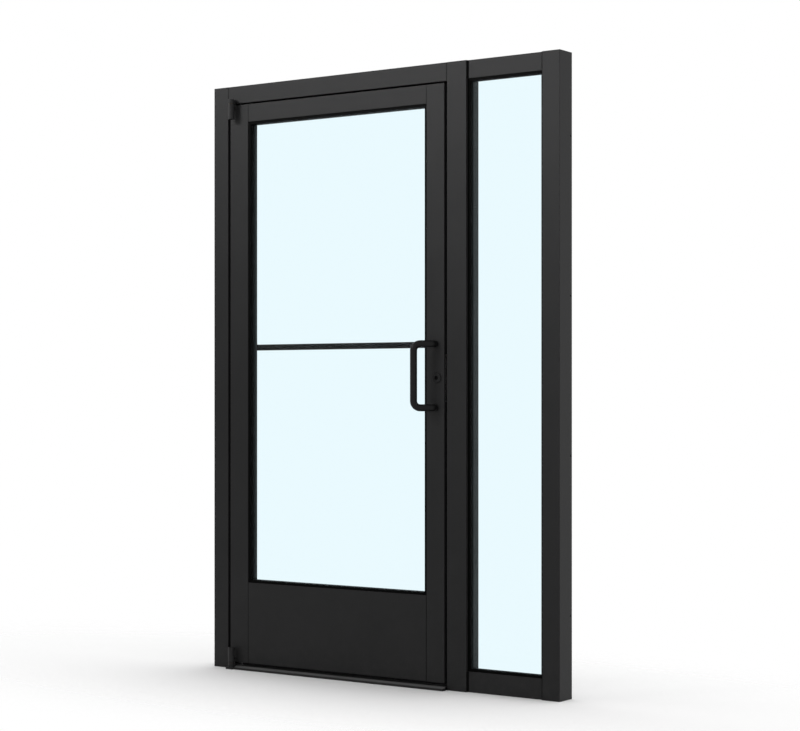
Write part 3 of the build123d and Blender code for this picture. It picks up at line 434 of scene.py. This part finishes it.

# Threshold: a low grooved saddle of dark anodised extrusion, screwed to the floor through its
# middle rib. Feet scuff its tread across the run and grit lies in the grooves. Its upright nose
# and the strip close to the leaf are painted near black, as painted shade.
anodised_dark = (0.085, 0.085, 0.086, 1)
anodised_pale = (0.120, 0.120, 0.121, 1)
scuff_grey = (0.16, 0.158, 0.155, 1)
painted_shade_black = (0.004, 0.004, 0.004, 1)
nose_top = (0.0062, 0.0085)
leaf_shade_strip = (0.009, 0.014)
tread_finish, tree, inputs, where = start_material("threshold_anodised", Specular_IOR_Level=0.3,
                                                   IOR=1.5)
tone = place_effect(tree, cloud_effect, where, {"Scale": 9.0})["Cloud"]
along_run = stretch(tree, where, (1.5, 800, 800))
lines = place_effect(tree, speckle_effect, along_run, {"Scale": 1.0})["Height"]
across_run = stretch(tree, where, (420, 26, 26))
scratches = place_effect(tree, cloud_effect, across_run, {"Scale": 1.0})["Cloud"]
walked = place_effect(tree, cloud_effect, where, {"Scale": 4.5})["Cloud"]
grit = place_effect(tree, dust_effect, where, {"Reach": 0.02})["Dust"]
scuffed = sum_of(tree, sum_of(tree, scratches, walked, "MULTIPLY"), 0.3, "MULTIPLY")
metal = blend_colours(tree, tone, anodised_dark, anodised_pale)
rubbed = blend_colours(tree, scuffed, metal, scuff_grey)
gritty = sum_of(tree, grit, 0.2, "MULTIPLY")
trodden = blend_colours(tree, gritty, rubbed, dust_colour)
level = add_node(tree, "SeparateXYZ")
tree.links.new(where, level.inputs[0])
# Painted shade: the upright nose below nose_top and the strip just in front of the leaf get a
# near-black colour.
above_nose = add_node(tree, "MapRange", {"From Min": nose_top[0], "From Max": nose_top[1]})
tree.links.new(level.outputs["Z"], above_nose.inputs["Value"])
leaf_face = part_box("hinge_stile")[0].y
in_front = add_node(tree, "MapRange", {"From Min": leaf_face - leaf_shade_strip[0],
                                       "From Max": leaf_face - leaf_shade_strip[1]})
tree.links.new(level.outputs["Y"], in_front.inputs["Value"])
outside_painted_shade = sum_of(tree, above_nose.outputs["Result"], in_front.outputs["Result"], "MULTIPLY")
tree.links.new(blend_colours(tree, outside_painted_shade, painted_shade_black, trodden), inputs["Base Color"])
marks = sum_of(tree, lines, scratches)
tree.links.new(run_between(tree, sum_of(tree, marks, 0.5, "MULTIPLY"), 0.34, 0.55),
               inputs["Roughness"])
raise_surface(tree, inputs, marks, 0.00003)
ease_edges(["threshold"], thin_edge_ease)
dress(["threshold"], tread_finish)

# Screws of the threshold and the pivots: steel, blackened, with slots that show bare metal where
# the driver has turned them.
blackened_screws = ["threshold_screws", "frame_pivot_screws", "leaf_pivot_screws"]
blackened = (0.014, 0.014, 0.015, 1)
rubbed_steel = (0.07, 0.07, 0.072, 1)
screw_finish, tree, inputs, where = start_material("blackened_screws", Metallic=0.6)
bare = place_effect(tree, cloud_effect, where, {"Scale": 240.0})["Cloud"]
tree.links.new(blend_colours(tree, bare, blackened, rubbed_steel), inputs["Base Color"])
tree.links.new(run_between(tree, bare, 0.46, 0.3), inputs["Roughness"])
rolled = place_effect(tree, speckle_effect, where, {"Scale": 1500.0})["Height"]
raise_surface(tree, inputs, rolled, 0.00002)
dress(blackened_screws, screw_finish)

# Offset pivots: a bracket with a cap in the header and a plate with a boss on the floor, each
# with an arm let into the hinge stile. They are steel, painted satin black.
pivot_pieces = ["top_pivot_bracket", "bottom_pivot_base", "top_pivot_arm", "bottom_pivot_arm"]
paint_deep = (0.017, 0.017, 0.0175, 1)
paint_pale = (0.024, 0.024, 0.0245, 1)
pivot_dust = 0.12
pivot_ease = 0.0007
satin_black, tree, inputs, where = start_material("satin_black_steel", Specular_IOR_Level=0.12,
                                                  IOR=1.5)
mottle = place_effect(tree, cloud_effect, where, {"Scale": 55.0})["Cloud"]
peel = place_effect(tree, speckle_effect, where, {"Scale": 700.0})["Height"]
dust = place_effect(tree, dust_effect, where, {"Reach": 0.12})["Dust"]
film = sum_of(tree, dust, pivot_dust, "MULTIPLY")
paint = blend_colours(tree, mottle, paint_deep, paint_pale)
tree.links.new(blend_colours(tree, film, paint, dust_colour), inputs["Base Color"])
tree.links.new(run_between(tree, mottle, 0.36, 0.46), inputs["Roughness"])
raise_surface(tree, inputs, peel, 0.00003)
ease_edges(pivot_pieces, pivot_ease)
dress(pivot_pieces, satin_black)

# Pivot pin, tie rods, through bolts, lock case, faceplate, strike plate, their screws and the
# bolt: plain steel, brushed along the door's height, with a little oil staining.
plain_steel = ["top_pivot_pin", "tie_rods", "through_bolts", "lock_case", "lock_faceplate",
               "faceplate_screws", "strike_plate", "strike_screws", "deadbolt"]
steel_bright = (0.52, 0.52, 0.525, 1)
steel_stained = (0.36, 0.355, 0.345, 1)
brushed_steel, tree, inputs, where = start_material("brushed_steel", Metallic=1.0)
up_and_down = stretch(tree, where, (1400, 1400, 14))
brush = place_effect(tree, speckle_effect, up_and_down, {"Scale": 1.0})["Height"]
stain = place_effect(tree, cloud_effect, where, {"Scale": 42.0})["Cloud"]
tree.links.new(blend_colours(tree, stain, steel_bright, steel_stained), inputs["Base Color"])
marks = sum_of(tree, sum_of(tree, brush, stain), 0.5, "MULTIPLY")
tree.links.new(run_between(tree, marks, 0.24, 0.42), inputs["Roughness"])
raise_surface(tree, inputs, brush, 0.00002)
ease_edges(["lock_case", "lock_faceplate", "strike_plate", "deadbolt"], thin_edge_ease)
dress(plain_steel, brushed_steel)

# Pivot bushes: flanged sleeves pressed into the knuckles, in which the pivots turn. They are
# sintered bronze, porous and dark with oil.
bronze_bright = (0.085, 0.06, 0.036, 1)
bronze_dull = (0.03, 0.022, 0.015, 1)
sintered_bronze, tree, inputs, where = start_material("sintered_bronze", Metallic=1.0)
pores = place_effect(tree, speckle_effect, where, {"Scale": 2400.0})["Height"]
oily = place_effect(tree, cloud_effect, where, {"Scale": 90.0})["Cloud"]
tree.links.new(blend_colours(tree, oily, bronze_bright, bronze_dull), inputs["Base Color"])
tree.links.new(run_between(tree, pores, 0.3, 0.55), inputs["Roughness"])
raise_surface(tree, inputs, pores, 0.00004)
dress(["pivot_bushes"], sintered_bronze)

# Sidelite and door glass: clear 6 mm float glass with a pale blue cast, standing on setting
# blocks. Making leaves a faint slow wave in it, and a light film lies on its faces. Light passes
# through it to the floor without the cast.
panes = ["sidelite_glass", "door_glass"]
glass_tint = (0.82, 0.955, 0.997, 1)
glass_reflection = (0.12, 0.12, 0.12, 1)
glass_clearness = (0.92, 0.92, 0.92, 1)
pale_glass, tree, inputs, where = start_material(
    "pale_blue_glass", Base_Color=glass_tint, Transmission_Weight=1.0, IOR=1.5,
    Specular_Tint=glass_reflection)
film = place_effect(tree, cloud_effect, where, {"Scale": 3.0})["Cloud"]
tree.links.new(run_between(tree, film, 0.0, 0.004), inputs["Roughness"])
rolled = stretch(tree, where, (1.0, 1.0, 4.0))
wave = place_effect(tree, speckle_effect, rolled, {"Scale": 1.2})["Height"]
raise_surface(tree, inputs, wave, 0.00008)
clear = add_node(tree, "BsdfTransparent", {"Color": glass_clearness})
see_through = add_node(tree, "MixShader")
light_path = add_node(tree, "LightPath")
passing = sum_of(tree, light_path.outputs["Is Shadow Ray"], light_path.outputs["Is Diffuse Ray"],
                 "MAXIMUM")
tree.links.new(passing, see_through.inputs[0])
tree.links.new(tree.nodes["Principled BSDF"].outputs[0], see_through.inputs[1])
tree.links.new(clear.outputs[0], see_through.inputs[2])
tree.links.new(see_through.outputs[0], tree.nodes["Material Output"].inputs["Surface"])
dress(panes, pale_glass)

# Glazing gaskets and setting blocks: matt black rubber. The gaskets are pushed in between glass
# and stop, mitred at the corners, and the blocks carry the panes.
rubber_pieces = ["sidelite_outer_gasket", "sidelite_inner_gasket", "door_outer_gasket",
                 "door_inner_gasket", "sidelite_setting_blocks", "door_setting_blocks"]
rubber_black = (0.006, 0.006, 0.006, 1)
rubber_bloom = (0.016, 0.016, 0.0165, 1)
rubber_ease = 0.0006
matt_rubber, tree, inputs, where = start_material("matt_rubber", Specular_IOR_Level=0.2, IOR=1.5)
bloom = place_effect(tree, cloud_effect, where, {"Scale": 24.0})["Cloud"]
skin = place_effect(tree, speckle_effect, where, {"Scale": 1800.0})["Height"]
tree.links.new(blend_colours(tree, bloom, rubber_black, rubber_bloom), inputs["Base Color"])
tree.links.new(run_between(tree, bloom, 0.62, 0.8), inputs["Roughness"])
raise_surface(tree, inputs, skin, 0.00003)
ease_edges(rubber_pieces, rubber_ease)
dress(rubber_pieces, matt_rubber)

# Glazing stops: thin aluminium channels snapped onto the members round each pane, the two sides
# full height and the head and foot between them. The street side's are a deeper, matt black.
outer_stops = ["sidelite_outer_stops", "door_outer_stops"]
inner_stops = ["sidelite_inner_stops", "door_inner_stops"]
bead_deep = (0.0012, 0.0012, 0.0012, 1)
bead_pale = (0.0022, 0.0022, 0.0022, 1)
matt_beads, tree, inputs, where = start_material("matt_black_beads", Specular_IOR_Level=0.03,
                                                 IOR=1.5)
rubbed = place_effect(tree, cloud_effect, where, {"Scale": 16.0})["Cloud"]
grain = place_effect(tree, speckle_effect, where, {"Scale": 1300.0})["Height"]
tree.links.new(blend_colours(tree, rubbed, bead_deep, bead_pale), inputs["Base Color"])
tree.links.new(run_between(tree, rubbed, 0.55, 0.7), inputs["Roughness"])
raise_surface(tree, inputs, grain, 0.00002)
ease_edges(outer_stops + inner_stops, thin_edge_ease)
dress(outer_stops, matt_beads)
dress(inner_stops, upright_coating)

# Door leaf: two stiles with a top and a bottom rail between them, drawn together by tie rods.
# The tubes have the frame's coating.
stiles = ["hinge_stile", "lock_stile"]
rails = ["top_rail", "bottom_rail"]
ease_edges(stiles + rails, saw_cut_ease)
rail_cut, rail_cut_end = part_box("bottom_rail")
rail_coating = black_coating("black_coating_rail", crossbar_die_lines, (rail_cut.x, rail_cut_end.x))
dress(stiles, upright_coating)
dress(rails, rail_coating)

# Sweep: a brush in a slot under the bottom rail, its rows of bristles just clear of the
# threshold. It is made as the pile strips are, with a wider backing, and short lengths of the
# same brush are stuck under the ends of the stiles.
sweep_backing_width = 0.0158
sweep_backing = 0.003
bristle_width = 0.0096
bristle_rows = 5
bristle_pitch = 0.0024
stile_backing_width = 0.011
stile_backing = 0.0012
brush_joint = 0.0004
plate_clearance = 0.004
lock_edge_clearance = 0.001
sweep, sweep_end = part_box("door_sweep")
sweep_middle = (sweep.y + sweep_end.y) / 2
sweep_sizes = (sweep_end.x - sweep.x, sweep_backing_width, sweep_backing, bristle_width,
               sweep_end.z - sweep.z)
sweep_strip = tufted_strip("sweep_brush", sweep_sizes, bristle_rows, bristle_pitch)
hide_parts("door_sweep")
fit_strip(sweep_strip, (sweep.x, sweep_middle, sweep_end.z), (1, 0, 0), (0, 0, -1))
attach(sweep_strip, "door_leaf")
lock_end, lock_end_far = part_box("lock_stile")
plate_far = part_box("bottom_pivot_base")[1]
for label, start_x, end_x in (
        ("hinge_stile_brush", plate_far.x + plate_clearance, sweep.x - brush_joint),
        ("lock_stile_brush", sweep_end.x + brush_joint, lock_end_far.x - lock_edge_clearance)):
    stile_sizes = (end_x - start_x, stile_backing_width, stile_backing, bristle_width,
                   lock_end.z - sweep.z)
    stile_strip = tufted_strip(label, stile_sizes, bristle_rows, bristle_pitch)
    fit_strip(stile_strip, (start_x, sweep_middle, lock_end.z), (1, 0, 0), (0, 0, -1))
    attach(stile_strip, "door_leaf")

# Lock: outer and inner cylinder in turned collars, with a thumbturn inside, all blackened steel.
# The key plug in the street side is dark steel, rubbed by the key.
lock_pieces = ["outer_cylinder", "inner_cylinder", "cylinder_collars", "thumbturn"]
lock_deep = (0.005, 0.005, 0.0052, 1)
lock_pale = (0.010, 0.010, 0.0103, 1)
lock_black, tree, inputs, where = start_material("blackened_lock", Specular_IOR_Level=0.2, IOR=1.5)
handled = place_effect(tree, cloud_effect, where, {"Scale": 120.0})["Cloud"]
turned = place_effect(tree, speckle_effect, where, {"Scale": 1600.0})["Height"]
tree.links.new(blend_colours(tree, handled, lock_deep, lock_pale), inputs["Base Color"])
tree.links.new(run_between(tree, handled, 0.34, 0.46), inputs["Roughness"])
raise_surface(tree, inputs, turned, 0.00002)
ease_edges(lock_pieces, thin_edge_ease)
dress(lock_pieces, lock_black)
plug_dark = (0.0015, 0.0015, 0.0015, 1)
plug_rubbed = (0.004, 0.004, 0.0041, 1)
plug_steel, tree, inputs, where = start_material("dark_plug_steel", Specular_IOR_Level=0.05,
                                                 IOR=1.5)
rubbed = place_effect(tree, cloud_effect, where, {"Scale": 300.0})["Cloud"]
tree.links.new(blend_colours(tree, rubbed, plug_dark, plug_rubbed), inputs["Base Color"])
tree.links.new(run_between(tree, rubbed, 0.3, 0.45), inputs["Roughness"])
dress(["key_plug"], plug_steel)

# Pull on the street side and push bar on the room side: bent round bar on rosettes and through
# bolts, painted black. The pull's paint is satin and the push bar's is matt.
pull_black = ((0.006, 0.006, 0.0062, 1), (0.009, 0.009, 0.0092, 1))
push_black = ((0.004, 0.004, 0.0042, 1), (0.008, 0.008, 0.0083, 1))


def bar_paint(name, blacks, specular, sheen):
    """Black paint on round bar, with a faint mottle; sheen is its roughest and smoothest."""
    material, tree, inputs, where = start_material(name, Specular_IOR_Level=specular, IOR=1.5)
    mottle = place_effect(tree, cloud_effect, where, {"Scale": 48.0})["Cloud"]
    peel = place_effect(tree, speckle_effect, where, {"Scale": 900.0})["Height"]
    tree.links.new(blend_colours(tree, mottle, *blacks), inputs["Base Color"])
    tree.links.new(run_between(tree, mottle, *sheen), inputs["Roughness"])
    raise_surface(tree, inputs, peel, 0.00002)
    return material


pull_paint = bar_paint("satin_pull", pull_black, 0.12, (0.34, 0.28))
push_paint = bar_paint("matt_push_bar", push_black, 0.02, (0.5, 0.42))
ease_edges(["push_bar_rosettes"], thin_edge_ease)
dress(["pull_handle"], pull_paint)
dress(["push_bar", "push_bar_rosettes"], push_paint)

# Studio floor: a disc of white paper, which keeps the unit's soft shadow and thins out into the
# white surroundings. It thins out sooner in front and behind than at the sides.
floor_white = (0.97, 0.97, 0.97, 1)
plain_white = (1, 1, 1, 1)
floor_reach = 4.5
floor_thinning = (0.2, 1.7)
floor_thinning_rate = (0.6, 1.5, 1.0)
bpy.ops.object.select_all(action="DESELECT")
bpy.ops.mesh.primitive_circle_add(vertices=96, radius=floor_reach, fill_type="NGON",
                                  location=(0, 0, 0))
bpy.ops.object.transform_apply(location=True, rotation=True, scale=True)
floor = bpy.context.object
floor.name = "studio_floor"
floor_paper = bpy.data.materials.new("white_floor")
floor_paper.use_nodes = True
tree = floor_paper.node_tree
tree.nodes.remove(tree.nodes["Principled BSDF"])
paper = add_node(tree, "BsdfDiffuse", {"Color": floor_white})
white = add_node(tree, "Emission", {"Color": plain_white, "Strength": 1.0})
gone = add_node(tree, "BsdfTransparent")
rays = add_node(tree, "LightPath")
through_glass = add_node(tree, "MixShader")
tree.links.new(rays.outputs["Is Transmission Ray"], through_glass.inputs[0])
tree.links.new(paper.outputs[0], through_glass.inputs[1])
tree.links.new(white.outputs[0], through_glass.inputs[2])
distance = add_node(tree, "VectorMath", operation="LENGTH")
floor_place = add_node(tree, "TexCoord").outputs["Object"]
tree.links.new(stretch(tree, floor_place, floor_thinning_rate), distance.inputs[0])
fade = add_node(tree, "MapRange", {"From Min": floor_thinning[0], "From Max": floor_thinning[1]},
                interpolation_type="SMOOTHSTEP")
tree.links.new(distance.outputs["Value"], fade.inputs["Value"])
ends = add_node(tree, "MixShader")
tree.links.new(fade.outputs["Result"], ends.inputs[0])
tree.links.new(through_glass.outputs[0], ends.inputs[1])
tree.links.new(gone.outputs[0], ends.inputs[2])
tree.links.new(ends.outputs[0], tree.nodes["Material Output"].inputs["Surface"])
floor.data.materials.append(floor_paper)

# Surroundings: plain white to camera, glossy and transmitted rays. The light that they give is
# soft and comes mostly from behind the unit.
ambient_front = 0.46
ambient_back = 1.5
studio = bpy.data.worlds.new("white_studio")
bpy.context.scene.world = studio
studio.use_nodes = True
tree = studio.node_tree
ambient = tree.nodes["Background"]
ambient.inputs["Color"].default_value = plain_white
way = add_node(tree, "SeparateXYZ")
tree.links.new(add_node(tree, "TexCoord").outputs["Generated"], way.inputs[0])
from_behind = add_node(tree, "MapRange", {"From Min": -1.0, "From Max": 1.0,
                                          "To Min": ambient_front, "To Max": ambient_back})
tree.links.new(way.outputs["Y"], from_behind.inputs["Value"])
tree.links.new(from_behind.outputs["Result"], ambient.inputs["Strength"])
shown = add_node(tree, "Background", {"Color": plain_white, "Strength": 1.0})
rays = add_node(tree, "LightPath")
mirrored = sum_of(tree, rays.outputs["Is Glossy Ray"], rays.outputs["Is Transmission Ray"],
                  "MAXIMUM")
looked_at = sum_of(tree, rays.outputs["Is Camera Ray"], mirrored, "MAXIMUM")
direct = sum_of(tree, rays.outputs["Diffuse Depth"], 0.5, "LESS_THAN")
white_rays = sum_of(tree, looked_at, direct, "MULTIPLY")
surround = add_node(tree, "MixShader")
tree.links.new(white_rays, surround.inputs[0])
tree.links.new(ambient.outputs[0], surround.inputs[1])
tree.links.new(shown.outputs[0], surround.inputs[2])
tree.links.new(surround.outputs[0], tree.nodes["World Output"].inputs["Surface"])

# Lamp: a long soft box high at the front left, with a grid that keeps its light on the upper
# part of the unit and off the floor, so the members darken downwards.
lamp_place = Vector((-2.2, -3.4, 3.8))
lamp_aim = Vector((0.05, 0, 1.92))
lamp = bpy.data.lights.new("front_softbox", "AREA")
lamp.shape = "RECTANGLE"
lamp.size, lamp.size_y = 4.8, 0.5
lamp.energy = 15.0
lamp.spread = math.radians(29)
softbox = bpy.data.objects.new("front_softbox", lamp)
softbox.location = lamp_place
softbox.rotation_euler = (lamp_aim - lamp_place).to_track_quat("-Z", "Y").to_euler()
softbox.visible_camera = False
bpy.context.scene.collection.objects.link(softbox)

# Camera: a long lens, held level and looking from the lock side of the street, with a small
# shift that places the horizon.
lens = bpy.data.cameras.new("camera")
lens.sensor_fit = "HORIZONTAL"
lens.sensor_width = 36
lens.lens = 88.91
lens.shift_y = 0.03248
camera = bpy.data.objects.new("camera", lens)
camera.location = (3.8155, -5.326, 0.962)
camera.rotation_euler = (math.radians(90), 0, math.radians(35.126))
bpy.context.scene.collection.objects.link(camera)
bpy.context.scene.camera = camera
bpy.context.scene.view_settings.view_transform = "Standard"
